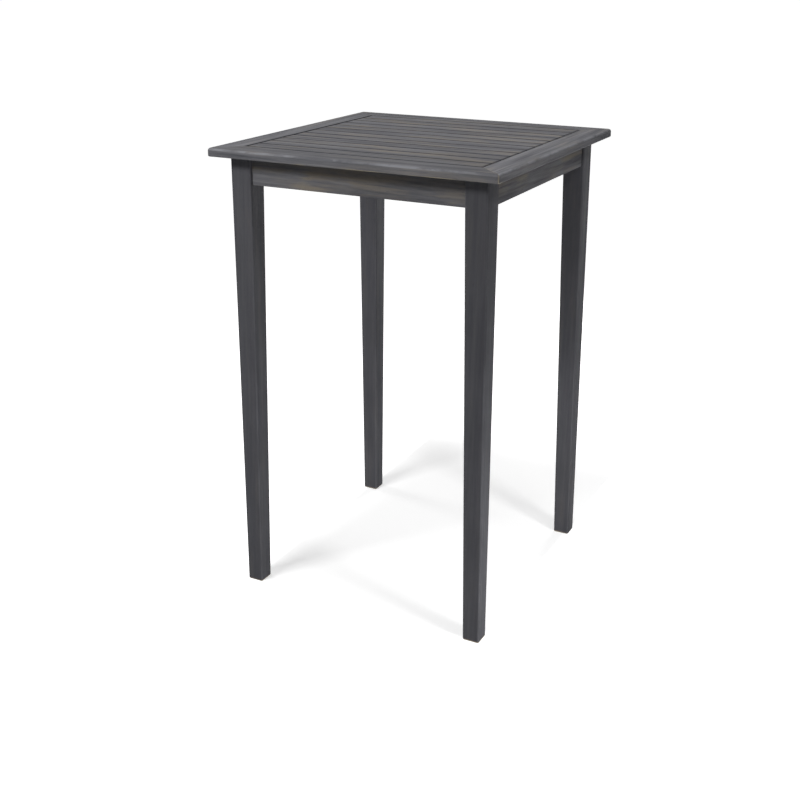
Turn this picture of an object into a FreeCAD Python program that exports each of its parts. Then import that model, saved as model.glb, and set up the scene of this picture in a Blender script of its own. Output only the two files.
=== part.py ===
# Square bar table of stained timber: slatted top in a mitred frame, apron and four tapered legs.
# Millimetres. X runs along the front edge, Y from front to back, Z up.
# The origin is on the floor below the middle of the top.

import FreeCAD
import Part
import Sketcher
import math
import os

from FreeCAD import Placement, Rotation, Vector

# Driving dimensions.
SIZES = {
    # Whole table.
    "table_height": 1016.0,
    "top_side": 660.4,
    "top_thickness": 18.0,
    "top_overhang": 35.0,
    # Mitred frame of the top.
    "rail_width": 58.0,
    "top_edge_radius": 6.0,
    "top_lower_radius": 2.5,
    "top_corner_ease": 2.0,
    "joint_edge_radius": 1.5,
    # Slats, with a stub tenon at each end.
    "slat_count": 12,
    "slat_gap": 4.0,
    "slat_end_gap": 3.0,
    "tenon_reach": 9.0,
    "tenon_thickness": 8.0,
    "tenon_shoulder": 3.0,
    "mortise_end_room": 1.0,
    # Dowels across each mitre.
    "dowel_diameter": 8.0,
    "dowel_length": 40.0,
    "dowel_spacing": 24.0,
    "dowel_inward_shift": 10.0,
    "dowel_chamfer": 1.0,
    "dowel_end_room": 1.0,
    # Cross batten below the slats.
    "batten_width": 45.0,
    "batten_thickness": 18.0,
    "batten_edge_radius": 2.0,
    "batten_end_gap": 0.5,
    "batten_screw_bite": 12.0,
    # Apron boards.
    "apron_height": 60.0,
    "apron_thickness": 18.0,
    "apron_setback": 6.0,
    "apron_edge_radius": 2.0,
    # Legs, square at the apron and tapered below it.
    "leg_width": 50.0,
    "foot_width": 38.0,
    "leg_edge_radius": 4.0,
    "foot_chamfer": 2.0,
    "taper_drop": 4.0,
    "seat_cut": 12.0,
    # Corner blocks, bolted to the legs and screwed to the aprons.
    "block_thickness": 25.0,
    "block_margin": 5.0,
    "block_leg_gap": 1.0,
    "block_edge_radius": 1.5,
    "block_screw_bite": 14.0,
    "block_screw_edge": 8.0,
    "block_screw_web": 10.0,
    # Leg bolts with washers and threaded inserts.
    "bolt_diameter": 8.0,
    "bolt_length": 50.0,
    "bolt_edge": 10.0,
    "bolt_head_rim": 2.5,
    "bolt_head_height": 6.0,
    "bolt_head_chamfer": 1.0,
    "bolt_socket_width": 5.0,
    "bolt_socket_depth": 3.5,
    "bolt_tip_room": 5.0,
    "bolt_clearance": 0.5,
    "washer_rim": 4.0,
    "washer_thickness": 1.6,
    "spring_washer_rim": 2.5,
    "spring_washer_thickness": 2.0,
    "spring_washer_split": 12.0,
    "insert_wall": 1.85,
    "insert_length": 20.0,
    # Wood screws.
    "screw_diameter": 4.0,
    "screw_head_rim": 2.0,
    "screw_head_height": 3.0,
    "screw_tip_length": 4.0,
    "counterbore_room": 0.75,
    # Slanted pocket holes that hold the top to the aprons.
    "pocket_angle": 15.0,
    "pocket_web": 16.0,
    "top_screw_bite": 13.0,
    # Play round every tenon, dowel, screw and insert.
    "fit_clearance": 0.15,
}

# Places that follow from the driving dimensions.
LAYOUT = {
    # Heights.
    "under_top": "Sizes.table_height - Sizes.top_thickness",
    "mid_top": "Sizes.top_thickness / 2",
    "apron_bottom": "Layout.under_top - Sizes.apron_height",
    "taper_start": "Layout.apron_bottom - Sizes.taper_drop",
    "square_length": "Layout.under_top - Layout.taper_start",
    "block_bottom": "Layout.apron_bottom + Sizes.block_margin",
    "block_height": "Sizes.apron_height - 2 * Sizes.block_margin",
    "batten_bottom": "Layout.under_top - Sizes.batten_thickness",
    # Distances from the middle of the table to the faces of the pieces.
    "half_top": "Sizes.top_side / 2",
    "opening_half": "Layout.half_top - Sizes.rail_width",
    "leg_out": "Layout.half_top - Sizes.top_overhang",
    "leg_in": "Layout.leg_out - Sizes.leg_width",
    "foot_in": "Layout.leg_out - Sizes.foot_width",
    "apron_out": "Layout.leg_out - Sizes.apron_setback",
    "apron_in": "Layout.apron_out - Sizes.apron_thickness",
    # Middle of the strip where an apron bears on a rail.
    "bearing": "(Layout.apron_out + max(Layout.apron_in; Layout.opening_half)) / 2",
    # Waste beyond a mitre, a rail width past both edges; the tip that stays is rounded.
    "waste_in": "Layout.opening_half - Sizes.rail_width",
    "waste_out": "Layout.half_top + Sizes.rail_width",
    "corner_radius": "Sizes.top_edge_radius + Sizes.top_corner_ease",
    "tip_start": "Layout.half_top - Layout.corner_radius",
    "tip_end": "Layout.half_top - Layout.corner_radius * (1 - 1 / sqrt(2))",
    # Dowels, measured from the middle along the diagonal.
    "mitre_middle": "sqrt(2) * (Layout.half_top - Sizes.rail_width / 2) - Sizes.dowel_inward_shift",
    "dowel_near": "Layout.mitre_middle - Sizes.dowel_spacing / 2",
    "dowel_far": "Layout.mitre_middle + Sizes.dowel_spacing / 2",
    "dowel_radius": "Sizes.dowel_diameter / 2",
    "dowel_hole_radius": "Layout.dowel_radius + Sizes.fit_clearance",
    "dowel_hole_depth": "Sizes.dowel_length / 2 + Sizes.dowel_end_room",
    # Slats and their tenons.
    "slat_pitch": "(2 * Layout.opening_half - Sizes.slat_gap) / Sizes.slat_count",
    "slat_half": "(Layout.slat_pitch - Sizes.slat_gap) / 2",
    "slat_end": "Layout.opening_half - Sizes.slat_end_gap",
    "slat_length": "2 * Layout.slat_end",
    "first_slat": "Layout.slat_half + Sizes.slat_gap - Layout.opening_half",
    "slat_run": "Layout.slat_pitch * (Sizes.slat_count - 1)",
    "tenon_half": "Layout.slat_half - Sizes.tenon_shoulder",
    "tenon_low": "Layout.mid_top - Sizes.tenon_thickness / 2",
    "tenon_high": "Layout.mid_top + Sizes.tenon_thickness / 2",
    "tenon_span": "2 * (Layout.opening_half + Sizes.tenon_reach)",
    "mortise_start": "Layout.first_slat - Layout.tenon_half - Sizes.fit_clearance",
    "mortise_end": "Layout.first_slat + Layout.tenon_half + Sizes.fit_clearance",
    "mortise_low": "Layout.tenon_low - Sizes.fit_clearance",
    "mortise_high": "Layout.tenon_high + Sizes.fit_clearance",
    "mortise_depth": "Sizes.tenon_reach + Sizes.mortise_end_room",
    # Cross batten.
    "batten_half": "Sizes.batten_width / 2",
    "batten_length": "2 * (Layout.apron_in - Sizes.batten_end_gap)",
    "batten_screw_length": "Sizes.batten_thickness + Sizes.batten_screw_bite",
    "batten_screw_depth": "Sizes.batten_screw_bite + Sizes.fit_clearance",
    # Wood screws and the holes that they fill.
    "screw_radius": "Sizes.screw_diameter / 2",
    "screw_head_radius": "Layout.screw_radius + Sizes.screw_head_rim",
    "screw_hole_radius": "Layout.screw_radius + Sizes.fit_clearance",
    "screw_sink_radius": "Layout.screw_head_radius + Sizes.fit_clearance",
    "counterbore_radius": "Layout.screw_head_radius + Sizes.counterbore_room",
    "batten_screw_neck": "Layout.batten_screw_length - Sizes.screw_tip_length",
    "block_screw_length": "Sizes.block_screw_web + Sizes.block_screw_bite",
    "block_screw_neck": "Layout.block_screw_length - Sizes.screw_tip_length",
    "block_screw_depth": "Sizes.block_screw_bite + Sizes.fit_clearance",
    "top_screw_length": "Sizes.pocket_web + Sizes.top_screw_bite",
    "top_screw_neck": "Layout.top_screw_length - Sizes.screw_tip_length",
    "top_screw_depth": "Sizes.top_screw_bite + Sizes.fit_clearance",
    # Slanted screws come up between two mortises, a quarter of the slats in from each side.
    "top_screw_place": "Layout.slat_pitch * (Sizes.slat_count / 2 - floor(Sizes.slat_count / 4))",
    "pocket_height": "Sizes.apron_height - Sizes.pocket_web * cos(Sizes.pocket_angle * 1 deg)",
    "pocket_place": "Layout.bearing - Sizes.pocket_web * sin(Sizes.pocket_angle * 1 deg)",
    "top_screw_height": "Layout.apron_bottom + Layout.pocket_height",
    # Bolted corner, measured from the middle along the diagonal.
    "seat_place": "Layout.leg_in + Sizes.seat_cut / 2",
    "seat_reach": "sqrt(2) * Layout.seat_place",
    "block_far": "Layout.seat_reach - Sizes.block_leg_gap",
    "block_near": "Layout.block_far - Sizes.block_thickness",
    "block_face": "Layout.block_near / sqrt(2)",
    "washer_near": "Layout.block_near - Sizes.washer_thickness",
    "head_seat": "Layout.washer_near - Sizes.spring_washer_thickness",
    "head_end": "Layout.head_seat - Sizes.bolt_head_height",
    "head_edge": "Layout.head_end + Sizes.bolt_head_chamfer",
    "head_place": "Layout.head_end / sqrt(2)",
    "bolt_end": "Layout.head_seat + Sizes.bolt_length",
    "insert_end": "Layout.seat_reach + Sizes.insert_length",
    "tip_hole_depth": "Layout.bolt_end - Layout.seat_reach + Sizes.bolt_tip_room",
    "bolt_spacing": "Layout.block_height - 2 * Sizes.bolt_edge",
    "bolt_high_in_block": "Layout.block_height - Sizes.bolt_edge",
    "bolt_low": "Layout.block_bottom + Sizes.bolt_edge",
    "bolt_high": "Layout.block_bottom + Layout.bolt_high_in_block",
    "bolt_radius": "Sizes.bolt_diameter / 2",
    "bolt_hole_radius": "Layout.bolt_radius + Sizes.bolt_clearance",
    "bolt_head_half": "Layout.bolt_radius + Sizes.bolt_head_rim",
    "bolt_crown": "Layout.bolt_head_half - Sizes.bolt_head_chamfer",
    "socket_flat": "Sizes.bolt_socket_width / 2",
    "socket_corner": "Sizes.bolt_socket_width / sqrt(3)",
    "socket_half_corner": "Layout.socket_corner / 2",
    "thread_radius": "Layout.bolt_radius + Sizes.fit_clearance",
    "washer_radius": "Layout.bolt_hole_radius + Sizes.washer_rim",
    "spring_washer_radius": "Layout.bolt_hole_radius + Sizes.spring_washer_rim",
    "spring_washer_turn": "360 - Sizes.spring_washer_split",
    "insert_radius": "Layout.thread_radius + Sizes.insert_wall",
    "insert_hole_radius": "Layout.insert_radius + Sizes.fit_clearance",
    # Corner cut of the leg, for the bolts' flat seat.
    "seat_waste_far": "Layout.leg_in + 2 * Sizes.seat_cut",
    "seat_waste_near": "Layout.leg_in - Sizes.seat_cut",
    # Corner block, where its slanted faces meet the aprons.
    "block_foot_far": "sqrt(2) * Layout.block_far - Layout.apron_in",
    "block_foot_near": "sqrt(2) * Layout.block_near - Layout.apron_in",
    "block_screw_place": "(Layout.block_foot_far + Layout.block_foot_near) / 2",
    "block_screw_head": "Layout.apron_in - Sizes.block_screw_web",
    "block_screw_high": "Layout.block_height - Sizes.block_screw_edge",
    "block_screw_spacing": "Layout.block_screw_high - Sizes.block_screw_edge",
    "block_screw_bottom": "Layout.block_bottom + Sizes.block_screw_edge",
    "apron_screw_low": "Sizes.block_margin + Sizes.block_screw_edge",
    "apron_screw_high": "Sizes.block_margin + Layout.block_screw_high",
}

# Quarter turns about Z that carry a piece from the front, or from the front left corner, to its place.
SIDES = {"front": 0, "right": 90, "back": 180, "left": 270}
CORNERS = {"front_left": 0, "front_right": 90, "back_right": 180, "back_left": 270}

# Turn about Z of an upright sketch plane from the front to the front left corner's diagonal.
ALONG_DIAGONAL = 225
ACROSS_DIAGONAL = -45

# A sketch's own axes, and the largest distance at which a point counts as lying on an edge.
SIDEWAYS = Vector(1, 0, 0)
UPRIGHT = Vector(0, 1, 0)
OUTWARD = Vector(0, 0, 1)
TOUCH = 0.001

QUARTER_TURN = 90
HALF_TURN = 180
FULL_TURN = 360

doc = FreeCAD.newDocument("BarTable")
sheet = doc.addObject("Spreadsheet::Sheet", "Sizes")
for row, (name, size) in enumerate(SIZES.items(), 1):
    sheet.set(f"A{row}", name)
    sheet.set(f"B{row}", str(size))
    sheet.setAlias(f"B{row}", name)
doc.recompute()

layout = doc.addObject("App::VarSet", "Layout")
for name in LAYOUT:
    layout.addProperty("App::PropertyFloat", name, "Places")
for name, formula in LAYOUT.items():
    layout.setExpression(name, formula)
doc.recompute()

nodes = []


def number(term):
    """Present value of a named size or place, with its sign."""
    if term == "0":
        return 0.0
    sign = -1.0 if term.startswith("-") else 1.0
    holder, name = term.lstrip("-").split(".")
    return sign * float(getattr(doc.getObject(holder), name))


def point(x, y, z):
    return Vector(number(x), number(y), number(z))


def new_piece(label, height, turn=0):
    """Empty body of one piece, lifted to its height and turned to its side or corner."""
    body = doc.addObject("PartDesign::Body", label)
    body.Label = label
    body.Placement = Placement(Vector(), Rotation(OUTWARD, turn))
    if height != "0":
        body.setExpression("Placement.Base.z", height)
    nodes.append(body)
    return body


def origin_of(body, role):
    return next(item for item in body.Origin.OriginFeatures if item.Role == role)


def new_sketch(body, role, name, shift=None, axis=UPRIGHT, turn=0):
    """Sketch on a plane of the body's own origin, moved by named places and turned about an axis."""
    sketch = body.newObject("Sketcher::SketchObject", name)
    sketch.AttachmentSupport = [(origin_of(body, role), "")]
    sketch.MapMode = "FlatFace"
    sketch.AttachmentOffset = Placement(Vector(), Rotation(axis, turn))
    for letter, term in (shift or {}).items():
        sketch.setExpression(f"AttachmentOffset.Base.{letter}", term)
    return sketch


def hold(sketch, shape, end, x, y):
    """Ties a point of the sketch to its named place."""
    for kind, term, line in (("DistanceX", x, -2), ("DistanceY", y, -1)):
        if term == "0":
            sketch.addConstraint(Sketcher.Constraint("PointOnObject", shape, end, line))
        else:
            rule = Sketcher.Constraint(kind, -1, 1, shape, end, number(term))
            sketch.setExpression(f"Constraints[{sketch.addConstraint(rule)}]", term)


def hold_radius(sketch, shape, term):
    rule = sketch.addConstraint(Sketcher.Constraint("Radius", shape, number(term)))
    sketch.setExpression(f"Constraints[{rule}]", term)


def add_outline(sketch, corners):
    """Closed outline of straight lines through the named corners."""
    places = [Vector(number(x), number(y), 0) for x, y in corners]
    first = sketch.GeometryCount
    for start, end in zip(places, places[1:] + places[:1]):
        sketch.addGeometry(Part.LineSegment(start, end), False)
    for index, (x, y) in enumerate(corners):
        following = first + (index + 1) % len(corners)
        sketch.addConstraint(Sketcher.Constraint("Coincident", first + index, 2, following, 1))
        hold(sketch, first + index, 1, x, y)


def add_rectangle(sketch, left, right, low, high):
    add_outline(sketch, [(left, low), (right, low), (right, high), (left, high)])


def add_circle(sketch, x, y, radius):
    circle = Part.Circle(Vector(number(x), number(y), 0), OUTWARD, number(radius))
    shape = sketch.addGeometry(circle, False)
    hold(sketch, shape, 3, x, y)
    hold_radius(sketch, shape, radius)


def add_rounded_square(sketch, low, high, radius):
    """Square between two named places, the same along both axes, with rounded corners."""
    near, far, bend = number(low), number(high), number(radius)
    after, before = near + bend, far - bend
    quarter = math.radians(QUARTER_TURN)
    middles = [(before, after), (before, before), (after, before), (after, after)]
    starts = [(after, near), (far, after), (before, far), (near, before)]
    ends = [(before, near), (far, before), (after, far), (near, after)]
    for side in range(4):
        sketch.addGeometry(Part.LineSegment(Vector(*starts[side], 0), Vector(*ends[side], 0)), False)
        circle = Part.Circle(Vector(*middles[side], 0), OUTWARD, bend)
        sketch.addGeometry(Part.ArcOfCircle(circle, (side - 1) * quarter, side * quarter), False)
    for side in range(4):
        line, arc, following = 2 * side, 2 * side + 1, (2 * side + 2) % 8
        sketch.addConstraint(Sketcher.Constraint("Tangent", line, 2, arc, 1))
        sketch.addConstraint(Sketcher.Constraint("Tangent", arc, 2, following, 1))
        sketch.addConstraint(Sketcher.Constraint("Vertical" if side % 2 else "Horizontal", line))
    for arc in (3, 5, 7):
        sketch.addConstraint(Sketcher.Constraint("Equal", 1, arc))
    hold_radius(sketch, 1, radius)
    for line, kind, term in (
        (0, "DistanceY", low),
        (2, "DistanceX", high),
        (4, "DistanceY", high),
        (6, "DistanceX", low),
    ):
        rule = Sketcher.Constraint(kind, -1, 1, line, 1, number(term))
        sketch.setExpression(f"Constraints[{sketch.addConstraint(rule)}]", term)


def extrude(body, kind, name, sketch, length=None, both_ways=False, backwards=False):
    """Pad or Pocket of a sketch: to a named length, or right through where none is given."""
    feature = body.newObject(f"PartDesign::{kind}", name)
    feature.Profile = sketch
    if length is None:
        feature.Type = "ThroughAll"
    else:
        feature.setExpression("Length", length)
    if both_ways:
        feature.SideType = "Symmetric"
    feature.Reversed = backwards
    doc.recompute()
    return feature


def turn_profile(body, kind, name, sketch, axis="H_Axis", angle=None):
    """Revolution or Groove of a sketch about one of its own axes."""
    feature = body.newObject(f"PartDesign::{kind}", name)
    feature.Profile = sketch
    feature.ReferenceAxis = (sketch, [axis])
    feature.Angle = FULL_TURN
    if angle:
        feature.setExpression("Angle", angle)
    doc.recompute()
    return feature


def edges_through(feature, places):
    """Names of the edges that pass through the given points."""
    found = []
    for place in places:
        vertex = Part.Vertex(place)
        for index, edge in enumerate(feature.Shape.Edges, 1):
            if edge.distToShape(vertex)[0] < TOUCH:
                found.append(f"Edge{index}")
    return found


def soften(body, kind, name, feature, edges, size):
    """Fillet or Chamfer of the named edges."""
    rounded = body.newObject(f"PartDesign::{kind}", name)
    rounded.Base = (feature, edges)
    rounded.setExpression("Radius" if kind == "Fillet" else "Size", size)
    doc.recompute()
    return rounded


def repeat_along(body, name, axis, length, count, originals=None):
    """Row of copies of the given features, or of the whole shape."""
    pattern = body.newObject("PartDesign::LinearPattern", name)
    if originals:
        pattern.Originals = originals
    else:
        pattern.TransformMode = "Whole shape"
    pattern.Direction = (origin_of(body, axis), [""])
    pattern.setExpression("Length", length)
    pattern.setExpression("Occurrences", count)
    body.Tip = pattern
    doc.recompute()
    return pattern


def repeat_round(body, name):
    """The whole shape at all four quarter turns about Z."""
    pattern = body.newObject("PartDesign::PolarPattern", name)
    pattern.TransformMode = "Whole shape"
    pattern.Axis = (origin_of(body, "Z_Axis"), [""])
    pattern.Angle = FULL_TURN
    pattern.Occurrences = len(CORNERS)
    body.Tip = pattern
    doc.recompute()
    return pattern


def mirror_sideways(body, name, originals=None):
    """Copies of the given features, or of the whole shape, at the other end of the piece."""
    mirrored = body.newObject("PartDesign::Mirrored", name)
    if originals:
        mirrored.Originals = originals
    else:
        mirrored.TransformMode = "Whole shape"
    mirrored.MirrorPlane = (origin_of(body, "YZ_Plane"), [""])
    body.Tip = mirrored
    doc.recompute()
    return mirrored


def add_mitre_waste(sketch):
    """Waste beyond the right end's mitre; the tip that stays is rounded to the table's plan corner."""
    corners = [
        ("Layout.waste_in", "-Layout.waste_in"),
        ("Layout.tip_end", "-Layout.tip_end"),
        ("Layout.tip_start", "-Layout.half_top"),
        ("Layout.tip_start", "-Layout.waste_out"),
        ("Layout.waste_out", "-Layout.waste_out"),
        ("Layout.waste_out", "-Layout.waste_in"),
    ]
    places = [Vector(number(x), number(y), 0) for x, y in corners]
    tip = Vector(number("Layout.tip_start"), -number("Layout.tip_start"), 0)
    circle = Part.Circle(tip, OUTWARD, number("Layout.corner_radius"))
    quarter = math.radians(QUARTER_TURN)
    sketch.addGeometry(Part.LineSegment(places[0], places[1]), False)
    sketch.addGeometry(Part.ArcOfCircle(circle, -quarter, -quarter / 2), False)
    for start, end in ((2, 3), (3, 4), (4, 5), (5, 0)):
        sketch.addGeometry(Part.LineSegment(places[start], places[end]), False)
    joins = ((0, 2, 1, 2), (1, 1, 2, 1), (2, 2, 3, 1), (3, 2, 4, 1), (4, 2, 5, 1), (5, 2, 0, 1))
    for join in joins:
        sketch.addConstraint(Sketcher.Constraint("Coincident", *join))
    for shape, end, corner in ((0, 1, 0), (0, 2, 1), (2, 1, 2), (3, 1, 3), (4, 1, 4), (5, 1, 5)):
        hold(sketch, shape, end, *corners[corner])
    hold_radius(sketch, 1, "Layout.corner_radius")


def make_rail(side, mortised):
    """Rail of the top frame: mitred, dowelled ends, edges rounded into the corners, mortises if asked."""
    rail = new_piece(f"rail_{side}", "Layout.under_top", SIDES[side])
    section = new_sketch(rail, "YZ_Plane", "RailSection")
    add_rectangle(section, "-Layout.half_top", "-Layout.opening_half", "0", "Sizes.top_thickness")
    bar = extrude(rail, "Pad", "RailLength", section, "Sizes.top_side", both_ways=True)
    inner = edges_through(bar, [point("0", "-Layout.opening_half", "Sizes.top_thickness")])
    soften(rail, "Fillet", "InnerEdge", bar, inner, "Sizes.joint_edge_radius")
    waste = new_sketch(rail, "XY_Plane", "MitreWaste")
    add_mitre_waste(waste)
    mitre = extrude(rail, "Pocket", "Mitre", waste, both_ways=True)
    feature = mirror_sideways(rail, "OtherMitre", [mitre])
    for name, z, radius in (
        ("UpperEdge", "Sizes.top_thickness", "Sizes.top_edge_radius"),
        ("LowerEdge", "0", "Sizes.top_lower_radius"),
    ):
        edges = edges_through(feature, [point("0", "-Layout.half_top", z)])
        feature = soften(rail, "Fillet", name, feature, edges, radius)
    spots = new_sketch(rail, "XZ_Plane", "DowelSpots", turn=ACROSS_DIAGONAL)
    for reach in ("Layout.dowel_near", "Layout.dowel_far"):
        add_circle(spots, reach, "Layout.mid_top", "Layout.dowel_hole_radius")
    holes = extrude(rail, "Pocket", "DowelHoles", spots, "Layout.dowel_hole_depth", backwards=True)
    mirror_sideways(rail, "OtherDowelHoles", [holes])
    if mortised:
        mouth = new_sketch(rail, "XZ_Plane", "MortiseMouth", {"z": "Layout.opening_half"})
        across = ("Layout.mortise_start", "Layout.mortise_end")
        add_rectangle(mouth, *across, "Layout.mortise_low", "Layout.mortise_high")
        mortise = extrude(rail, "Pocket", "Mortise", mouth, "Layout.mortise_depth", backwards=True)
        repeat_along(rail, "Mortises", "X_Axis", "Layout.slat_run", "Sizes.slat_count", [mortise])
    tilted = new_sketch(rail, "XY_Plane", "TopScrewSpot", {"y": "-Layout.bearing"}, SIDEWAYS)
    tilted.setExpression("AttachmentOffset.Rotation.Angle", "Sizes.pocket_angle")
    for place in ("-Layout.top_screw_place", "Layout.top_screw_place"):
        add_circle(tilted, place, "0", "Layout.screw_hole_radius")
    extrude(rail, "Pocket", "TopScrewHoles", tilted, "2 * Layout.top_screw_depth", both_ways=True)


def make_slat(index):
    """Slat with eased upper edges, a stub tenon at each end and a hole for the batten's screw."""
    slat = new_piece(f"slat_{index + 1:02d}", "Layout.under_top")
    slat.setExpression("Placement.Base.y", f"Layout.first_slat + {index} * Layout.slat_pitch")
    section = new_sketch(slat, "YZ_Plane", "SlatSection")
    add_rectangle(section, "-Layout.slat_half", "Layout.slat_half", "0", "Sizes.top_thickness")
    board = extrude(slat, "Pad", "SlatLength", section, "Layout.slat_length", both_ways=True)
    top = "Sizes.top_thickness"
    places = [point("0", side, top) for side in ("-Layout.slat_half", "Layout.slat_half")]
    places += [point(end, "0", top) for end in ("-Layout.slat_end", "Layout.slat_end")]
    soften(slat, "Fillet", "UpperEdges", board, edges_through(board, places), "Sizes.joint_edge_radius")
    tenon = new_sketch(slat, "YZ_Plane", "TenonSection")
    across = ("-Layout.tenon_half", "Layout.tenon_half")
    add_rectangle(tenon, *across, "Layout.tenon_low", "Layout.tenon_high")
    extrude(slat, "Pad", "Tenons", tenon, "Layout.tenon_span", both_ways=True)
    spot = new_sketch(slat, "XY_Plane", "ScrewSpot")
    add_circle(spot, "0", "0", "Layout.screw_hole_radius")
    extrude(slat, "Pocket", "ScrewHole", spot, "Layout.batten_screw_depth", backwards=True)


def add_screw_profile(sketch, kind, countersunk=False):
    """Half outline of a wood screw, from under its head or from the top of a countersunk one."""
    if countersunk:
        head = [
            ("0", "0"),
            ("0", "Layout.screw_head_radius"),
            ("Sizes.screw_head_height", "Layout.screw_radius"),
        ]
    else:
        head = [
            ("-Sizes.screw_head_height", "0"),
            ("-Sizes.screw_head_height", "Layout.screw_head_radius"),
            ("0", "Layout.screw_head_radius"),
            ("0", "Layout.screw_radius"),
        ]
    point_end = [(f"Layout.{kind}_neck", "Layout.screw_radius"), (f"Layout.{kind}_length", "0")]
    add_outline(sketch, head + point_end)


def make_batten():
    """Cross batten between the front and back apron, countersunk for one screw into each slat."""
    batten = new_piece("cross_batten", "Layout.batten_bottom")
    section = new_sketch(batten, "XZ_Plane", "BattenSection")
    add_rectangle(section, "-Layout.batten_half", "Layout.batten_half", "0", "Sizes.batten_thickness")
    board = extrude(batten, "Pad", "BattenLength", section, "Layout.batten_length", both_ways=True)
    places = [point(side, "0", "0") for side in ("-Layout.batten_half", "Layout.batten_half")]
    soften(batten, "Fillet", "LowerEdges", board, edges_through(board, places), "Sizes.batten_edge_radius")
    sink = new_sketch(batten, "YZ_Plane", "ScrewSink", {"x": "Layout.first_slat"})
    add_outline(sink, [
        ("0", "0"),
        ("Layout.screw_sink_radius", "0"),
        ("Layout.screw_hole_radius", "Sizes.screw_head_height"),
        ("Layout.screw_hole_radius", "Sizes.batten_thickness"),
        ("0", "Sizes.batten_thickness"),
    ])
    hole = turn_profile(batten, "Groove", "SunkHole", sink, "V_Axis")
    repeat_along(batten, "SunkHoles", "Y_Axis", "Layout.slat_run", "Sizes.slat_count", [hole])


def make_batten_screws():
    screws = new_piece("batten_screws", "Layout.batten_bottom")
    shift = {"x": "Layout.first_slat"}
    profile = new_sketch(screws, "YZ_Plane", "ScrewProfile", shift, OUTWARD, QUARTER_TURN)
    add_screw_profile(profile, "batten_screw", countersunk=True)
    turn_profile(screws, "Revolution", "Screw", profile)
    repeat_along(screws, "Row", "Y_Axis", "Layout.slat_run", "Sizes.slat_count")


def make_apron(side):
    """Apron board between two legs, with slanted pockets to the top and holes for the blocks' screws."""
    apron = new_piece(f"apron_{side}", "Layout.apron_bottom", SIDES[side])
    section = new_sketch(apron, "YZ_Plane", "ApronSection")
    add_rectangle(section, "-Layout.apron_out", "-Layout.apron_in", "0", "Sizes.apron_height")
    board = extrude(apron, "Pad", "ApronLength", section, "2 * Layout.leg_in", both_ways=True)
    places = [point("0", face, "0") for face in ("-Layout.apron_out", "-Layout.apron_in")]
    soften(apron, "Fillet", "LowerEdges", board, edges_through(board, places), "Sizes.apron_edge_radius")
    for name, radius, upwards in (
        ("Pockets", "Layout.counterbore_radius", False),
        ("TopScrewHoles", "Layout.screw_hole_radius", True),
    ):
        shift = {"y": "-Layout.pocket_place", "z": "Layout.pocket_height"}
        tilted = new_sketch(apron, "XY_Plane", f"{name}Spots", shift, SIDEWAYS)
        tilted.setExpression("AttachmentOffset.Rotation.Angle", "Sizes.pocket_angle")
        for place in ("-Layout.top_screw_place", "Layout.top_screw_place"):
            add_circle(tilted, place, "0", radius)
        extrude(apron, "Pocket", name, tilted, backwards=upwards)
    spots = new_sketch(apron, "XZ_Plane", "BlockScrewSpots", {"z": "Layout.apron_in"})
    for place in ("-Layout.block_screw_place", "Layout.block_screw_place"):
        for height in ("Layout.apron_screw_low", "Layout.apron_screw_high"):
            add_circle(spots, place, height, "Layout.screw_hole_radius")
    extrude(apron, "Pocket", "BlockScrewHoles", spots, "Layout.block_screw_depth", backwards=True)


def make_top_screws():
    screws = new_piece("top_screws", "Layout.top_screw_height")
    shift = {"x": "-Layout.pocket_place", "z": "Layout.top_screw_place"}
    profile = new_sketch(screws, "YZ_Plane", "ScrewProfile", shift, OUTWARD)
    profile.setExpression("AttachmentOffset.Rotation.Angle", f"{QUARTER_TURN} + Sizes.pocket_angle")
    add_screw_profile(profile, "top_screw")
    turn_profile(screws, "Revolution", "Screw", profile)
    mirror_sideways(screws, "Pair")
    repeat_round(screws, "AllAprons")


def make_leg(corner):
    """Leg: square at the apron, tapered on its inner faces below; flat seat and holes for bolts."""
    leg = new_piece(f"leg_{corner}", "0", CORNERS[corner])
    square = new_sketch(leg, "XY_Plane", "SquareSection", {"z": "Layout.taper_start"})
    add_rounded_square(square, "-Layout.leg_out", "-Layout.leg_in", "Sizes.leg_edge_radius")
    extrude(leg, "Pad", "SquareEnd", square, "Layout.square_length")
    foot = new_sketch(leg, "XY_Plane", "FootSection")
    add_rounded_square(foot, "-Layout.leg_out", "-Layout.foot_in", "Sizes.leg_edge_radius")
    taper = leg.newObject("PartDesign::AdditiveLoft", "Taper")
    taper.Profile = square
    taper.Sections = [foot]
    taper.Ruled = True
    doc.recompute()
    rim = [f"Edge{i}" for i, edge in enumerate(taper.Shape.Edges, 1) if edge.BoundBox.ZMax < TOUCH]
    soften(leg, "Chamfer", "FootEdge", taper, rim, "Sizes.foot_chamfer")
    waste = new_sketch(leg, "XY_Plane", "SeatWaste", {"z": "Layout.under_top"})
    add_outline(waste, [
        ("-Layout.seat_waste_far", "-Layout.seat_waste_near"),
        ("-Layout.seat_waste_near", "-Layout.seat_waste_far"),
        ("-Layout.seat_waste_near", "-Layout.seat_waste_near"),
    ])
    extrude(leg, "Pocket", "BoltSeat", waste, "Sizes.apron_height")
    for name, radius, depth in (
        ("InsertHoles", "Layout.insert_hole_radius", "Sizes.insert_length"),
        ("BoltTipHoles", "Layout.bolt_hole_radius", "Layout.tip_hole_depth"),
    ):
        shift = {"x": "-Layout.seat_place", "z": "Layout.seat_place"}
        spots = new_sketch(leg, "XZ_Plane", f"{name}Spots", shift, turn=ACROSS_DIAGONAL)
        for height in ("Layout.bolt_low", "Layout.bolt_high"):
            add_circle(spots, "0", height, radius)
        extrude(leg, "Pocket", name, spots, depth, backwards=True)


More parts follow.
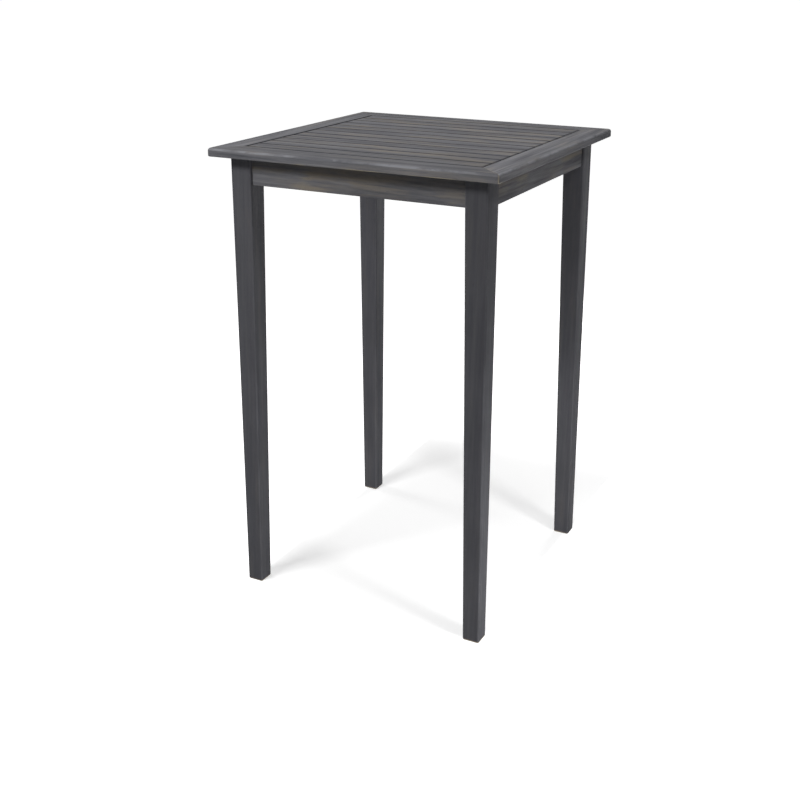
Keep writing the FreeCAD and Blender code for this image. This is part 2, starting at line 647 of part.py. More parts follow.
def make_block(corner):
    """Corner block across two aprons, bored for the leg's bolts and counterbored for its own screws."""
    block = new_piece(f"corner_block_{corner}", "Layout.block_bottom", CORNERS[corner])
    plan = new_sketch(block, "XY_Plane", "BlockPlan")
    add_outline(plan, [
        ("-Layout.apron_in", "-Layout.block_foot_far"),
        ("-Layout.block_foot_far", "-Layout.apron_in"),
        ("-Layout.block_foot_near", "-Layout.apron_in"),
        ("-Layout.apron_in", "-Layout.block_foot_near"),
    ])
    body = extrude(block, "Pad", "BlockHeight", plan, "Layout.block_height")
    middle = "-Layout.block_face"
    places = [point(middle, middle, height) for height in ("0", "Layout.block_height")]
    soften(block, "Fillet", "BlockEdges", body, edges_through(body, places), "Sizes.block_edge_radius")
    spots = new_sketch(block, "XZ_Plane", "BoltSpots", turn=ACROSS_DIAGONAL)
    for height in ("Sizes.bolt_edge", "Layout.bolt_high_in_block"):
        add_circle(spots, "0", height, "Layout.bolt_hole_radius")
    extrude(block, "Pocket", "BoltHoles", spots, backwards=True)
    for apron, plane, head, faces_apron in (
        ("Front", "XZ_Plane", "Layout.block_screw_head", True),
        ("Side", "YZ_Plane", "-Layout.block_screw_head", False),
    ):
        for hole, radius, into_apron in (
            ("Counterbore", "Layout.counterbore_radius", False),
            ("ScrewHole", "Layout.screw_hole_radius", True),
        ):
            spots = new_sketch(block, plane, f"{apron}{hole}Spots", {"z": head})
            for height in ("Sizes.block_screw_edge", "Layout.block_screw_high"):
                add_circle(spots, "-Layout.block_screw_place", height, radius)
            extrude(block, "Pocket", f"{apron}{hole}", spots, backwards=faces_apron == into_apron)


def make_block_screws():
    screws = new_piece("corner_block_screws", "Layout.block_screw_bottom")
    shift = {"x": "-Layout.block_screw_head", "z": "Layout.block_screw_place"}
    profile = new_sketch(screws, "YZ_Plane", "ScrewProfile", shift, OUTWARD, HALF_TURN)
    add_screw_profile(profile, "block_screw")
    turn_profile(screws, "Revolution", "Screw", profile)
    repeat_along(screws, "Pair", "Z_Axis", "Layout.block_screw_spacing", "2")
    mirror_sideways(screws, "BothEnds")
    repeat_round(screws, "AllAprons")


def make_mitre_dowels():
    dowels = new_piece("mitre_dowels", "Layout.under_top")
    spots = new_sketch(dowels, "XZ_Plane", "DowelSpots", turn=ALONG_DIAGONAL)
    for reach in ("Layout.dowel_near", "Layout.dowel_far"):
        add_circle(spots, reach, "Layout.mid_top", "Layout.dowel_radius")
    pair = extrude(dowels, "Pad", "Pair", spots, "Sizes.dowel_length", both_ways=True)
    rims = [f"Edge{i}" for i, edge in enumerate(pair.Shape.Edges, 1) if edge.isClosed()]
    soften(dowels, "Chamfer", "Ends", pair, rims, "Sizes.dowel_chamfer")
    repeat_round(dowels, "AllCorners")


def make_ring(label, reach, radii, angle=None):
    """Washer or insert round each leg bolt, between two distances along the diagonal."""
    rings = new_piece(label, "Layout.bolt_low")
    profile = new_sketch(rings, "XZ_Plane", "RingProfile", turn=ALONG_DIAGONAL)
    add_rectangle(profile, *reach, *radii)
    turn_profile(rings, "Revolution", "Ring", profile, angle=angle)
    repeat_along(rings, "Pair", "Z_Axis", "Layout.bolt_spacing", "2")
    repeat_round(rings, "AllCorners")


def make_bolts():
    """Leg bolts with a round chamfered head and a hexagon socket."""
    bolts = new_piece("leg_bolts", "Layout.bolt_low")
    profile = new_sketch(bolts, "XZ_Plane", "BoltProfile", turn=ALONG_DIAGONAL)
    add_outline(profile, [
        ("Layout.head_end", "0"),
        ("Layout.head_end", "Layout.bolt_crown"),
        ("Layout.head_edge", "Layout.bolt_head_half"),
        ("Layout.head_seat", "Layout.bolt_head_half"),
        ("Layout.head_seat", "Layout.bolt_radius"),
        ("Layout.bolt_end", "Layout.bolt_radius"),
        ("Layout.bolt_end", "0"),
    ])
    turn_profile(bolts, "Revolution", "Bolt", profile)
    shift = {"x": "-Layout.head_place", "z": "Layout.head_place"}
    socket = new_sketch(bolts, "XZ_Plane", "Socket", shift, turn=ACROSS_DIAGONAL)
    add_outline(socket, [
        ("Layout.socket_corner", "0"),
        ("Layout.socket_half_corner", "Layout.socket_flat"),
        ("-Layout.socket_half_corner", "Layout.socket_flat"),
        ("-Layout.socket_corner", "0"),
        ("-Layout.socket_half_corner", "-Layout.socket_flat"),
        ("Layout.socket_half_corner", "-Layout.socket_flat"),
    ])
    extrude(bolts, "Pocket", "HexSocket", socket, "Sizes.bolt_socket_depth", backwards=True)
    repeat_along(bolts, "Pair", "Z_Axis", "Layout.bolt_spacing", "2")
    repeat_round(bolts, "AllCorners")


for side in SIDES:
    make_rail(side, mortised=side in ("left", "right"))
    make_apron(side)
for index in range(round(number("Sizes.slat_count"))):
    make_slat(index)
for corner in CORNERS:
    make_leg(corner)
    make_block(corner)
make_batten()
make_batten_screws()
make_mitre_dowels()
make_top_screws()
make_block_screws()
make_bolts()
make_ring(
    "bolt_washers",
    ("Layout.washer_near", "Layout.block_near"),
    ("Layout.bolt_hole_radius", "Layout.washer_radius"),
)
make_ring(
    "bolt_spring_washers",
    ("Layout.head_seat", "Layout.washer_near"),
    ("Layout.bolt_hole_radius", "Layout.spring_washer_radius"),
    "Layout.spring_washer_turn",
)
make_ring(
    "leg_inserts",
    ("Layout.seat_reach", "Layout.insert_end"),
    ("Layout.thread_radius", "Layout.insert_radius"),
)
doc.recompute()

failed = [item.Name for item in doc.Objects if {"Invalid", "Error"} & set(item.State)]
failed += [node.Label for node in nodes if node.Shape.isNull() or not node.Shape.isValid()]
if failed:
    raise RuntimeError("not built: " + ", ".join(failed))

os.makedirs("parts", exist_ok=True)
for node in nodes:
    node.Shape.exportStep(f"parts/{node.Label}.step")
    print(node.Label, len(node.Shape.Solids), round(node.Shape.Volume, 1))
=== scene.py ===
import bpy
import math
from mathutils import Matrix, Vector
from types import SimpleNamespace


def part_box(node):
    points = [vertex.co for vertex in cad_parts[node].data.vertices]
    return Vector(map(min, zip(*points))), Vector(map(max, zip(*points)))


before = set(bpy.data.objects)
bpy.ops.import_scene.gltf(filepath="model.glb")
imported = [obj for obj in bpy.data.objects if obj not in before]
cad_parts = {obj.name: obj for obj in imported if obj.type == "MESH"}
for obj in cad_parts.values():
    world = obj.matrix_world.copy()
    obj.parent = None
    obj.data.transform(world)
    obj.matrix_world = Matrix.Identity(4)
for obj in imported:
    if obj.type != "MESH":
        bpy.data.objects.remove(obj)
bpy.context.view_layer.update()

# Turns that lay the timber's grain, which runs along X, in other directions.
ALONG_X = (0.0, 0.0, 0.0)
ALONG_Y = (0.0, 0.0, math.radians(90))
ALONG_Z = (0.0, math.radians(90), 0.0)
DIAGONAL = (0.0, 0.0, math.radians(45))
OTHER_DIAGONAL = (0.0, 0.0, math.radians(-45))

# Noises: features per metre along and across the grain, then detail, roughness and distortion.
STREAKS = ((3.0, 60.0, 60.0), 5.0, 0.60, 0.25)
FIBRES = ((16.0, 820.0, 820.0), 3.0, 0.70, 0.0)
PATCHES = ((7.0, 38.0, 38.0), 3.0, 0.55, 0.15)
BLOTCHES = ((5.0, 11.0, 11.0), 2.0, 0.50, 0.0)
PORES = ((60.0, 1500.0, 1500.0), 2.0, 0.60, 0.0)
DASHES = ((24.0, 60.0, 60.0), 3.0, 0.60, 0.0)
ZINC_BLOTCHES = ((170.0, 170.0, 170.0), 3.0, 0.60, 0.0)
ZINC_SCRATCHES = ((900.0, 900.0, 140.0), 2.0, 0.70, 0.0)
BEECH_FLECKS = ((420.0, 420.0, 900.0), 3.0, 0.60, 0.0)

# Year rings: a wave on coordinates that are pressed together along the grain.
RING_SCALES = (0.05, 1.0, 1.0)
RING_WAVE = {"Scale": 62.0, "Distortion": 5.0, "Detail": 3.0, "Detail_Scale": 0.6, "Detail_Roughness": 0.6}

# Metres that a seed of 1 moves the patterns of a board and of a steel piece.
BOARD_STEP = (1.37, 0.71, 0.53)
STEEL_STEP = (1.0, 0.6, 0.3)

# Shares of the patterns in the grain, and how far its darkest and lightest lines lie from the board's tone.
FIBRE_SHARE, STREAK_SHARE, RING_SHARE = 0.34, 0.61, 0.05
DARK_REACH, LIGHT_REACH = 0.50, 0.55

# Where along a pattern the colours of a ramp lie.
GRAIN_STOPS = (0.33, 0.50, 0.67)
ZINC_STOPS = (0.32, 0.68)
BEECH_STOPS = (0.35, 0.65)

# Colours of the timber that follow a board's tone.
STAIN_COLOURS = ((0.120, 0.121, 0.135), (0.121, 0.121, 0.131), (0.122, 0.121, 0.126))
THIN_STAIN = (0.196, 0.172, 0.141)
BARE_EDGE = (0.270, 0.235, 0.180)
RUBBED_AND_HIGHLIT_EDGE = (0.208, 0.210, 0.226)
PALE_FILLER = (0.235, 0.210, 0.172)
CHAFED_UNDERSIDE = (0.300, 0.260, 0.180)

# Colours that are the same on all boards, and on the small pieces.
PORE = (0.040, 0.041, 0.046)
# Painted shade in the gaps between boards and under the top.
PAINTED_SHADE = (0.030, 0.030, 0.034)
DARK_FILLER = (0.062, 0.057, 0.052)
SCUFFED_FOOT = (0.300, 0.245, 0.175)
ZINC_COLOURS = ((0.34, 0.35, 0.37), (0.60, 0.61, 0.61))
BEECH_COLOURS = ((0.44, 0.29, 0.16), (0.60, 0.43, 0.26))
WHITE = (1.0, 1.0, 1.0)

# Ranges of patterns for spread(): two values of the pattern, then what they become where that isn't 0 and 1.
RIDGE_RANGE = (0.38, 0.62)
SHADE_RANGE = (0.30, 0.70, 0.90, 1.06)
PORE_RANGE = (0.62, 0.74, 0.0, 0.55)
PIT_RANGE = (0.60, 0.74, 0.0, 0.25)
DASH_RANGE = (0.42, 0.60, 0.30, 1.40)
RUB_AND_HIGHLIGHT_RANGE = (0.32, 0.62, 0.20, 1.0)
SCUFF_RANGE = (0.35, 0.60, 0.35, 0.95)
FILLER_RANGE = (0.44, 0.56)
BROKEN_LINE_RANGE = (0.32, 0.58, 0.35, 0.90)
CHAFED_RANGE = (0.53, 0.63, 0.0, 0.65)
TIMBER_ROUGHNESS = (0.35, 0.65, 0.80, 0.62)
ZINC_ROUGHNESS = (0.30, 0.70, 0.30, 0.52)
BEECH_ROUGHNESS = (0.30, 0.70, 0.70, 0.55)

# Thin spots of the stain: range of the patches, how far a tan of 1 lowers both values, and the most that shows.
THIN_LOW, THIN_HIGH = 0.50, 0.70
THIN_LOW_DROP, THIN_HIGH_DROP = 0.08, 0.06
THIN_LIMIT = 0.95

# Ranges of slopes: how far a surface faces up, or to two sides at once, or away from its softened neighbourhood.
SHARP_EDGE = (0.995, 0.90)
ROUNDED = (0.15, 0.45)
NOT_FLAT = (0.995, 0.93)
FLANK = (0.85, 0.35)
FACING_DOWN = (-0.10, -0.40)
SOFTENED_RADIUS, SOFTENED_SAMPLES = 0.0022, 4

# Strips beside joints and edges: metres from the edge where a strip begins and where it is full.
SLAT_SIDE_STRIP = (0.0028, 0.0014)
SLAT_END_STRIP = (0.0046, 0.0016)
RAIL_INNER_STRIP = (0.0034, 0.0016)
APRON_TOP_STRIP = (0.028, 0.012)
FOOT_STRIP = (0.0050, 0.0018)
MITRE_LINE = (0.0016, 0.0005)
MITRE_TIP = (0.0036, 0.0010, 0.0, 0.60)

# How much painted shade lies in the gaps along the slats and under the top. At the slats' ends it is a share of the
# first, for spread() from the left to the right.
SLAT_GAP_SHADE = 0.80
APRON_TOP_SHADE = 0.42
END_SHARES = (-0.1, 0.1, 1.2, 0.5)

# Gloss of the timber, and depths of the bumps in metres with their strengths.
TIMBER_SPECULAR = 0.10
TIMBER_BUMP = {"Strength": 0.28, "Distance": 0.0006}
ZINC_BUMP = {"Strength": 0.12, "Distance": 0.0002}
BEECH_BUMP = {"Strength": 0.20, "Distance": 0.0003}

# Kinds of boards: contrast of the grain, how much of the stain is thin (tan), how worn the edges are and how strong
# the painted highlight on their roundings is (wear_and_highlight), and what is added to the blue (cool).
SLAT = {"contrast": 0.65, "tan": 0.75, "wear_and_highlight": 0.0}
RAIL = {"contrast": 0.85, "tan": 0.40, "wear_and_highlight": 0.85}
APRON = {"contrast": 0.90, "tan": 1.10, "wear_and_highlight": 0.30}
LEG = {"contrast": 0.28, "tan": 0.12, "wear_and_highlight": 0.55, "cool": 0.004}
INNER_BOARD = {"contrast": 1.0, "tan": 0.45, "wear_and_highlight": 0.20}
INNER_TONE = 0.95

# First seed of each kind of board. The slats' seeds are their numbers.
RAIL_SEED, APRON_SEED, LEG_SEED, BLOCK_SEED, BATTEN_SEED = 20, 30, 40, 50, 60

# Lighter and darker slats, from the front to the back, as shares of one level. Besides the boards' own tones, the
# front slats are darker as painted shade against the stronger light there.
SLAT_LEVEL = 1.04
SLAT_TONES = (0.93, 0.95, 1.05, 1.04, 1.16, 1.27, 1.16, 1.27, 1.22, 1.33, 1.23, 1.30)

# Metres between the slats' ends and the rails.
SLAT_END_GAP = 0.003

# Sides: grain, tones of the rail's top and outer edge, painted shade at its joint to the slats, tone of the apron.
# Besides the stain's own tone, the tones differ from side to side as painted light and shade.
SIDES = (
    ("front", ALONG_X, 0.92, 0.96, 0.75, 0.88),
    ("right", ALONG_Y, 1.31, 0.86, 0.40, 0.95),
    ("back", ALONG_X, 1.18, 0.92, 0.75, 0.86),
    ("left", ALONG_Y, 1.36, 0.92, 1.00, 0.86),
)

# Corners: grain of the block, tone of the leg. Besides the legs' own darker stain, the tones differ from leg to leg
# as painted light and shade.
CORNERS = (
    ("front_left", OTHER_DIAGONAL, 0.585),
    ("front_right", DIAGONAL, 0.505),
    ("back_right", OTHER_DIAGONAL, 0.56),
    ("back_left", DIAGONAL, 0.66),
)

STEEL_NODES = (
    "batten_screws", "top_screws", "corner_block_screws", "leg_bolts", "bolt_washers", "bolt_spring_washers",
    "leg_inserts",
)

# Floor, in metres: it fades to plain white at the feet, and further off behind the table. The glow that the camera
# sees on it rises from the third value of its range to the fourth there.
FLOOR_SIZE, FLOOR_DROP = 120.0, 0.0005
FLOOR_GREY = (0.85, 0.85, 0.85)
FADE_AT_FEET = (0.274, 0.306)
FADE_BEHIND = (0.57, 0.87)
GLOW_RANGE = (0.0, 1.0, 0.45, 0.95)

# World: even light on the table (third value), and white where the camera sees it (fourth value).
WORLD_RANGE = (0.0, 1.0, 0.07, 1.0)

# Softboxes: place, target, width and height in metres, power in watts.
LAMPS = (
    ("lamp_front", (-0.80, -1.70, 2.06), (0.0, 0.0, 0.5), 0.80, 0.40, 33.0),
    ("lamp_above", (0.25, -0.35, 3.30), (0.0, 0.0, 0.5), 0.80, 0.80, 6.7),
    ("lamp_right", (2.12, -0.77, 3.30), (0.0, 0.0, 0.4), 0.45, 0.45, 32.0),
    ("lamp_low", (1.00, -0.42, 0.11), (0.25, -0.2, -0.15), 0.20, 0.20, 4.4),
    ("lamp_back", (0.2, 2.4, 0.65), (0.0, 0.0, 0.45), 0.60, 0.60, 16.0),
    ("lamp_left", (-2.4, 0.5, 0.65), (0.0, 0.0, 0.45), 0.60, 0.60, 16.0),
)

# Camera: place in metres, turn to the left and tilt down, sensor and lens in millimetres, shift of the lens, and how
# far it sees in metres.
CAMERA_PLACE = (1.1483, -2.2740, 1.4018)
CAMERA_YAW, CAMERA_PITCH = math.radians(27.758), math.radians(17.533)
SENSOR_WIDTH, LENS, SHIFT_Y = 36.0, 52.26, -0.10
CLIP_END = 200.0


def rgba(colour, tone=1.0, cool=0.0):
    """Opaque colour at a tone, with a little more blue."""
    red, green, blue = colour
    return (red * tone, green * tone, (blue + cool) * tone, 1.0)


def add(tree, kind, settings=None, **inputs):
    """New shader node with its settings, and inputs that are numbers or other nodes' outputs."""
    node = tree.nodes.new(kind)
    for name, setting in (settings or {}).items():
        setattr(node, name, setting)
    for name, source in inputs.items():
        socket = node.inputs[int(name[1:])] if name[0] == "_" else node.inputs[name.replace("_", " ")]
        if isinstance(source, bpy.types.NodeSocket):
            tree.links.new(source, socket)
        else:
            socket.default_value = source
    return node


def maths(tree, operation, first, second=0.0, clamp=False):
    settings = {"operation": operation, "use_clamp": clamp}
    return add(tree, "ShaderNodeMath", settings, _0=first, _1=second).outputs[0]


def spread(tree, source, low, high, to_low=0.0, to_high=1.0):
    """Source from low to high, smoothed and stretched to a new range."""
    settings = {"interpolation_type": "SMOOTHSTEP"}
    node = add(tree, "ShaderNodeMapRange", settings, _0=source, _1=low, _2=high, _3=to_low, _4=to_high)
    return node.outputs[0]


def blend(tree, factor, first, second, kind="MIX"):
    """Colour between two colours, or the first one darkened by the second."""
    settings = {"data_type": "RGBA", "blend_type": kind}
    return add(tree, "ShaderNodeMix", settings, _0=factor, _6=first, _7=second).outputs[2]


def ramp(tree, source, stops, colours):
    """Colours that follow a source, each at its stop."""
    node = add(tree, "ShaderNodeValToRGB", _0=source)
    elements = node.color_ramp.elements
    elements[0].position, elements[1].position = stops[0], stops[-1]
    for stop in stops[1:-1]:
        elements.new(stop)
    for element, colour in zip(elements, colours):
        element.color = colour
    return node.outputs[0]


def moved(step, seed):
    return tuple(seed * length for length in step)


def stretch(tree, place, scales):
    return add(tree, "ShaderNodeVectorMath", {"operation": "MULTIPLY"}, _0=place, _1=scales).outputs[0]


def noise(tree, place, scales, detail, roughness, distortion):
    return add(
        tree, "ShaderNodeTexNoise",
        Vector=stretch(tree, place, scales), Scale=1.0, Detail=detail, Roughness=roughness, Distortion=distortion,
    ).outputs[0]


def object_place(tree):
    return add(tree, "ShaderNodeTexCoord").outputs["Object"]


def new_material(name):
    material = bpy.data.materials.new(name)
    material.use_nodes = True
    tree = material.node_tree
    tree.nodes.clear()
    output = tree.nodes.new("ShaderNodeOutputMaterial")
    shader = tree.nodes.new("ShaderNodeBsdfPrincipled")
    tree.links.new(shader.outputs[0], output.inputs[0])
    return material, tree, shader


def coat(tree, shader, colour, roughness, relief, bump):
    """Give a shader its colour, its roughness and the bumps of a relief."""
    tree.links.new(colour, shader.inputs["Base Color"])
    tree.links.new(roughness, shader.inputs["Roughness"])
    tree.links.new(add(tree, "ShaderNodeBump", Height=relief, **bump).outputs[0], shader.inputs["Normal"])


def patterns(tree, seed, turn):
    """Places, slopes and noises that the layers of one board share."""
    where = object_place(tree)
    place = add(
        tree, "ShaderNodeMapping", {"vector_type": "TEXTURE"},
        Vector=where, Location=moved(BOARD_STEP, seed), Rotation=turn,
    ).outputs[0]
    normal = add(tree, "ShaderNodeNewGeometry").outputs["Normal"]
    rings = add(
        tree, "ShaderNodeTexWave", {"wave_type": "BANDS", "bands_direction": "DIAGONAL"},
        Vector=stretch(tree, place, RING_SCALES), **RING_WAVE,
    ).outputs["Fac"]
    streaks = noise(tree, place, *STREAKS)
    fibres = noise(tree, place, *FIBRES)
    grain = maths(
        tree, "ADD", maths(tree, "MULTIPLY", fibres, FIBRE_SHARE), maths(tree, "MULTIPLY", streaks, STREAK_SHARE)
    )
    return SimpleNamespace(
        place=place,
        normal=normal,
        axes=add(tree, "ShaderNodeSeparateXYZ", Vector=where).outputs,
        slope=add(tree, "ShaderNodeSeparateXYZ", Vector=normal).outputs,
        grain=maths(tree, "ADD", grain, maths(tree, "MULTIPLY", rings, RING_SHARE)),
        ridges=spread(tree, streaks, *RIDGE_RANGE),
        patches=noise(tree, place, *PATCHES),
        blotches=noise(tree, place, *BLOTCHES),
        pores=noise(tree, place, *PORES),
    )


def stained(tree, board, tone, contrast, tan, cool):
    """Stain over the grain, thin in patches, blotched and darker in the pores."""
    tones = (tone * (1.0 - DARK_REACH * contrast), tone, tone * (1.0 + LIGHT_REACH * contrast))
    stains = [rgba(stain, level, cool) for stain, level in zip(STAIN_COLOURS, tones)]
    colour = ramp(tree, board.grain, GRAIN_STOPS, stains)
    thin = spread(tree, board.patches, THIN_LOW - THIN_LOW_DROP * tan, THIN_HIGH - THIN_HIGH_DROP * tan)
    thin = maths(tree, "MULTIPLY", thin, board.ridges)
    thin = maths(tree, "MULTIPLY", thin, min(tan, THIN_LIMIT), True)
    colour = blend(tree, thin, colour, rgba(THIN_STAIN, tone))
    shade = spread(tree, board.blotches, *SHADE_RANGE)
    shade = add(tree, "ShaderNodeCombineColor", _0=shade, _1=shade, _2=shade).outputs[0]
    colour = blend(tree, 1.0, colour, shade, "MULTIPLY")
    return blend(tree, spread(tree, board.pores, *PORE_RANGE), colour, rgba(PORE))


def rub_and_highlight_edges(tree, board, colour, tone, wear_and_highlight, is_rail):
    """Bare wood on sharp edges, and paler stain with a painted highlight on rounded ones: a rail's upper edge, or
    else upright edges.
    """
    softened = add(tree, "ShaderNodeBevel", {"samples": SOFTENED_SAMPLES}, Radius=SOFTENED_RADIUS).outputs[0]
    facing = add(tree, "ShaderNodeVectorMath", {"operation": "DOT_PRODUCT"}, _0=softened, _1=board.normal)
    bare = maths(tree, "MULTIPLY", spread(tree, facing.outputs["Value"], *SHARP_EDGE), board.ridges)
    colour = blend(tree, maths(tree, "MULTIPLY", bare, wear_and_highlight, True), colour, rgba(BARE_EDGE, tone))
    aside, ahead, upward = board.slope
    if is_rail:
        curve = maths(tree, "MULTIPLY", spread(tree, upward, *ROUNDED), spread(tree, upward, *NOT_FLAT))
        dashes = noise(tree, board.place, *DASHES)
        curve = maths(tree, "MULTIPLY", curve, spread(tree, dashes, *DASH_RANGE))
    else:
        curve = spread(tree, maths(tree, "ABSOLUTE", maths(tree, "MULTIPLY", aside, ahead)), *ROUNDED)
    # Paler stain and a painted highlight along the rounding.
    rubbed_and_highlit = maths(tree, "MULTIPLY", curve, spread(tree, board.blotches, *RUB_AND_HIGHLIGHT_RANGE))
    return blend(tree, maths(tree, "MULTIPLY", rubbed_and_highlit, wear_and_highlight, True), colour, rgba(RUBBED_AND_HIGHLIT_EDGE, tone))


def shade_at_seams(tree, board, colour, middle, half_width, half_length):
    """Painted shade along a slat's long edges and at its ends, where the gaps are."""
    x, y, _ = board.axes
    begin, full = SLAT_SIDE_STRIP
    offset = maths(tree, "ABSOLUTE", maths(tree, "SUBTRACT", y, middle))
    side = spread(tree, offset, half_width - begin, half_width - full)
    begin, full = SLAT_END_STRIP
    end = spread(tree, maths(tree, "ABSOLUTE", x), half_length - begin, half_length - full)
    end = maths(tree, "MULTIPLY", end, spread(tree, x, *END_SHARES))
    shaded = maths(tree, "MULTIPLY", maths(tree, "MAXIMUM", side, end), SLAT_GAP_SHADE)
    return blend(tree, shaded, colour, rgba(PAINTED_SHADE))


def shade_under_top(tree, board, colour, ceiling):
    """Painted shade along an apron's upper edge, below the overhang of the top."""
    begin, full = APRON_TOP_STRIP
    # Painted shadow of the top's overhang on the apron's upper part.
    shaded = spread(tree, board.axes[2], ceiling - begin, ceiling - full, 0.0, APRON_TOP_SHADE)
    return blend(tree, shaded, colour, rgba(PAINTED_SHADE))


def scuff_foot(tree, board, colour):
    """Bare wood at the bottom edge of a leg."""
    low = spread(tree, board.axes[2], *FOOT_STRIP)
    scuffed = maths(tree, "MULTIPLY", low, spread(tree, board.blotches, *SCUFF_RANGE))
    return blend(tree, scuffed, colour, rgba(SCUFFED_FOOT))


def mark_mitres(tree, board, colour, tone, opening, edge_light_tone, joint_shade):
    """Rail's outer edge in a tone of painted light and shade, filler in the mitres, painted shade at the joint to
    the slats, chafed lower edge.
    """
    x, y, _ = board.axes
    upward = board.slope[2]
    across = maths(tree, "ABSOLUTE", x)
    along = maths(tree, "ABSOLUTE", y)
    # Painted light and shade on the outer edge: a tone beside the top's, a little lighter on the front and darker on
    # the other sides.
    flank = spread(tree, maths(tree, "ABSOLUTE", upward), *FLANK)
    colour = blend(tree, flank, colour, rgba(WHITE, edge_light_tone / tone), "MULTIPLY")

    pale = rgba(PALE_FILLER, tone)
    from_mitre = maths(tree, "ABSOLUTE", maths(tree, "SUBTRACT", across, along))
    filler = blend(tree, spread(tree, board.patches, *FILLER_RANGE), rgba(DARK_FILLER), pale)
    broken = spread(tree, board.blotches, *BROKEN_LINE_RANGE)
    line = maths(tree, "MULTIPLY", spread(tree, from_mitre, *MITRE_LINE), broken)
    colour = blend(tree, line, colour, filler)
    tip = maths(tree, "MULTIPLY", flank, spread(tree, from_mitre, *MITRE_TIP))
    colour = blend(tree, tip, colour, pale)

    # Painted shade in the gap between the rail and the slats' ends, stronger on some sides than on others.
    begin, full = RAIL_INNER_STRIP
    inner = spread(tree, maths(tree, "MAXIMUM", across, along), opening + begin, opening + full, 0.0, joint_shade)
    colour = blend(tree, inner, colour, rgba(PAINTED_SHADE))
    under = spread(tree, upward, *FACING_DOWN)
    chafed = maths(tree, "MULTIPLY", under, spread(tree, board.patches, *CHAFED_RANGE))
    return blend(tree, chafed, colour, rgba(CHAFED_UNDERSIDE, tone))


def timber(
    name, seed, turn, tone, contrast, tan, wear_and_highlight, cool=0.0, seams=None, ceiling=None, foot=False, mitre=None
):
    """Grey-stained timber, with the layers that only slats, aprons, legs or rails have."""
    material, tree, shader = new_material(name)
    board = patterns(tree, seed, turn)
    colour = stained(tree, board, tone, contrast, tan, cool)
    colour = rub_and_highlight_edges(tree, board, colour, tone, wear_and_highlight, mitre is not None)
    if seams:
        colour = shade_at_seams(tree, board, colour, *seams)
    if ceiling:
        colour = shade_under_top(tree, board, colour, ceiling)
    if foot:
        colour = scuff_foot(tree, board, colour)
    if mitre:
        colour = mark_mitres(tree, board, colour, tone, *mitre)
    shader.inputs["Specular IOR Level"].default_value = TIMBER_SPECULAR
    roughness = spread(tree, board.grain, *TIMBER_ROUGHNESS)
    relief = maths(tree, "SUBTRACT", board.grain, spread(tree, board.pores, *PIT_RANGE))
    coat(tree, shader, colour, roughness, relief, TIMBER_BUMP)
    return material


def zinc(name, seed):
    """Zinc-plated steel, dull and faintly blotched."""
    material, tree, shader = new_material(name)
    shift = moved(STEEL_STEP, seed)
    place = add(tree, "ShaderNodeMapping", Vector=object_place(tree), Location=shift).outputs[0]
    blotches = noise(tree, place, *ZINC_BLOTCHES)
    scratches = noise(tree, place, *ZINC_SCRATCHES)
    colour = ramp(tree, blotches, ZINC_STOPS, [rgba(colour) for colour in ZINC_COLOURS])
    shader.inputs["Metallic"].default_value = 1.0
    coat(tree, shader, colour, spread(tree, scratches, *ZINC_ROUGHNESS), scratches, ZINC_BUMP)
    return material


def dowel_wood(name):
    """Bare beech of the dowels."""
    material, tree, shader = new_material(name)
    flecks = noise(tree, object_place(tree), *BEECH_FLECKS)
    colour = ramp(tree, flecks, BEECH_STOPS, [rgba(colour) for colour in BEECH_COLOURS])
    coat(tree, shader, colour, spread(tree, flecks, *BEECH_ROUGHNESS), flecks, BEECH_BUMP)
    return material


def dress(node, material):
    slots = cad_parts[node].data.materials
    slots.clear()
    slots.append(material)


def dress_table():
    """Stained timber on the boards, beech on the dowels and zinc on the steel pieces."""
    # Half the width of the opening between the left and right rail.
    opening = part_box("rail_right")[0][0]
    for number, tone in enumerate(SLAT_TONES, 1):
        slat = f"slat_{number:02d}"
        low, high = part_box(slat)
        seams = ((low[1] + high[1]) / 2, (high[1] - low[1]) / 2, opening - SLAT_END_GAP)
        dress(slat, timber(f"slat_timber_{number:02d}", number, ALONG_X, SLAT_LEVEL * tone, **SLAT, seams=seams))

    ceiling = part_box("apron_front")[1][2]
    for number, (side, turn, rail_tone, edge_light_tone, joint_shade, apron_tone) in enumerate(SIDES):
        mitre = (opening, edge_light_tone, joint_shade)
        rail = timber(f"rail_timber_{side}", RAIL_SEED + number, turn, rail_tone, **RAIL, mitre=mitre)
        dress(f"rail_{side}", rail)
        apron = timber(f"apron_timber_{side}", APRON_SEED + number, turn, apron_tone, **APRON, ceiling=ceiling)
        dress(f"apron_{side}", apron)

    for number, (corner, turn, leg_tone) in enumerate(CORNERS):
        leg = timber(f"leg_timber_{corner}", LEG_SEED + number, ALONG_Z, leg_tone, **LEG, foot=True)
        dress(f"leg_{corner}", leg)
        block = timber(f"block_timber_{corner}", BLOCK_SEED + number, turn, INNER_TONE, **INNER_BOARD)
        dress(f"corner_block_{corner}", block)
    dress("cross_batten", timber("batten_timber", BATTEN_SEED, ALONG_Y, INNER_TONE, **INNER_BOARD))

    dress("mitre_dowels", dowel_wood("dowel_timber"))
    for number, node in enumerate(STEEL_NODES):
        dress(node, zinc(f"zinc_{node}", number))


def seen_directly(tree):
    """1 for rays that show a surface to the camera, also in a mirror or through glass, and 0 for others."""
    rays = add(tree, "ShaderNodeLightPath")
    seen = maths(tree, "MAXIMUM", rays.outputs["Is Camera Ray"], rays.outputs["Is Glossy Ray"])
    return maths(tree, "MAXIMUM", seen, rays.outputs["Is Transmission Ray"])


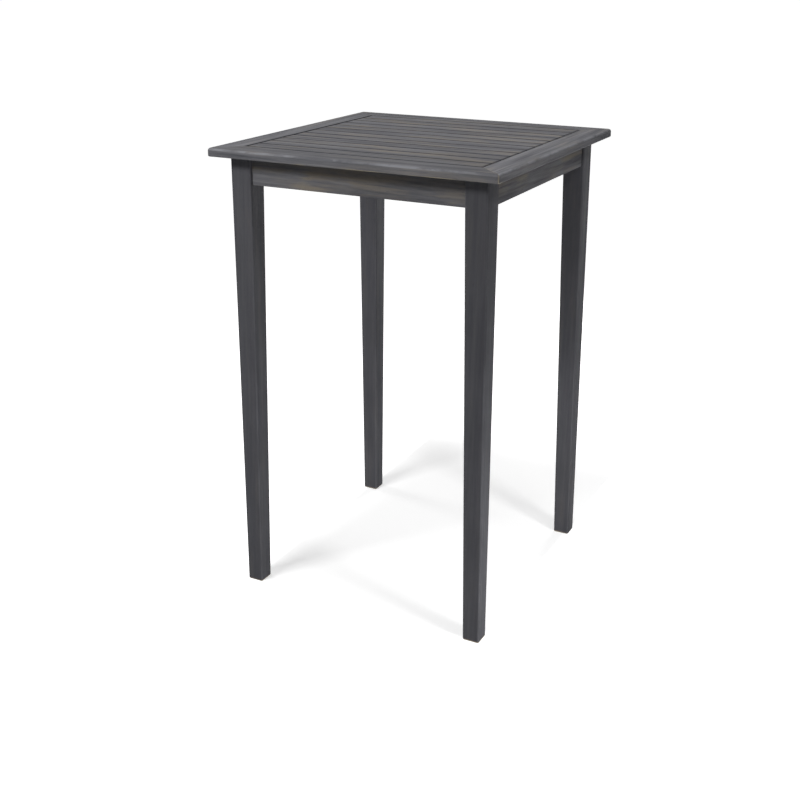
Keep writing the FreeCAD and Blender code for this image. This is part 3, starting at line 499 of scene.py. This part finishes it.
def make_floor():
    """Pale floor that shows soft shadows between the legs and behind the table, and is plain white elsewhere."""
    bpy.ops.mesh.primitive_plane_add(size=FLOOR_SIZE, location=(0.0, 0.0, -FLOOR_DROP))
    floor = bpy.context.object
    floor.name = "floor"
    material = bpy.data.materials.new("floor_pale")
    material.use_nodes = True
    tree = material.node_tree
    tree.nodes.clear()
    output = tree.nodes.new("ShaderNodeOutputMaterial")
    matt = add(tree, "ShaderNodeBsdfDiffuse", Color=rgba(FLOOR_GREY))
    axes = add(tree, "ShaderNodeSeparateXYZ", Vector=object_place(tree))
    x, y, _ = axes.outputs
    begin, full = FADE_AT_FEET
    side = spread(tree, maths(tree, "ABSOLUTE", x), begin, full)
    front = spread(tree, y, -begin, -full)
    behind = spread(tree, y, *FADE_BEHIND)
    outside = maths(tree, "MAXIMUM", side, maths(tree, "MAXIMUM", front, behind))
    glow = spread(tree, outside, *GLOW_RANGE)
    strength = maths(tree, "MULTIPLY", seen_directly(tree), glow)
    white = add(tree, "ShaderNodeEmission", Color=rgba(WHITE), Strength=strength)
    both = add(tree, "ShaderNodeAddShader", _0=matt.outputs[0], _1=white.outputs[0])
    tree.links.new(both.outputs[0], output.inputs[0])
    floor.data.materials.append(material)


def make_world():
    """White where the camera sees it, and an even ambient light on the table."""
    world = bpy.data.worlds.new("studio")
    bpy.context.scene.world = world
    world.use_nodes = True
    tree = world.node_tree
    tree.nodes.clear()
    output = tree.nodes.new("ShaderNodeOutputWorld")
    strength = spread(tree, seen_directly(tree), *WORLD_RANGE)
    sky = add(tree, "ShaderNodeBackground", Color=rgba(WHITE), Strength=strength)
    tree.links.new(sky.outputs[0], output.inputs[0])


def make_lamp(name, place, target, width, height, power):
    """Softbox at a place, turned to a target."""
    data = bpy.data.lights.new(name, "AREA")
    data.shape = "RECTANGLE"
    data.size = width
    data.size_y = height
    data.energy = power
    lamp = bpy.data.objects.new(name, data)
    bpy.context.collection.objects.link(lamp)
    lamp.visible_camera = False
    lamp.location = place
    lamp.rotation_mode = "QUATERNION"
    lamp.rotation_quaternion = (Vector(target) - Vector(place)).to_track_quat("-Z", "Y")


def make_camera():
    """Camera like the photograph's: right of the front, above the top and looking down at the table."""
    data = bpy.data.cameras.new("camera")
    data.sensor_width = SENSOR_WIDTH
    data.lens = LENS
    data.shift_y = SHIFT_Y
    data.clip_end = CLIP_END
    camera = bpy.data.objects.new("camera", data)
    bpy.context.collection.objects.link(camera)
    level, drop = math.cos(CAMERA_PITCH), math.sin(CAMERA_PITCH)
    ahead = Vector((-math.sin(CAMERA_YAW) * level, math.cos(CAMERA_YAW) * level, -drop))
    right = Vector((math.cos(CAMERA_YAW), math.sin(CAMERA_YAW), 0.0))
    turn = Matrix((right, right.cross(ahead), -ahead)).transposed().to_4x4()
    camera.matrix_world = Matrix.Translation(CAMERA_PLACE) @ turn
    bpy.context.scene.camera = camera


dress_table()
make_floor()
make_world()
for lamp_values in LAMPS:
    make_lamp(*lamp_values)
make_camera()
bpy.context.scene.view_settings.view_transform = "Standard"
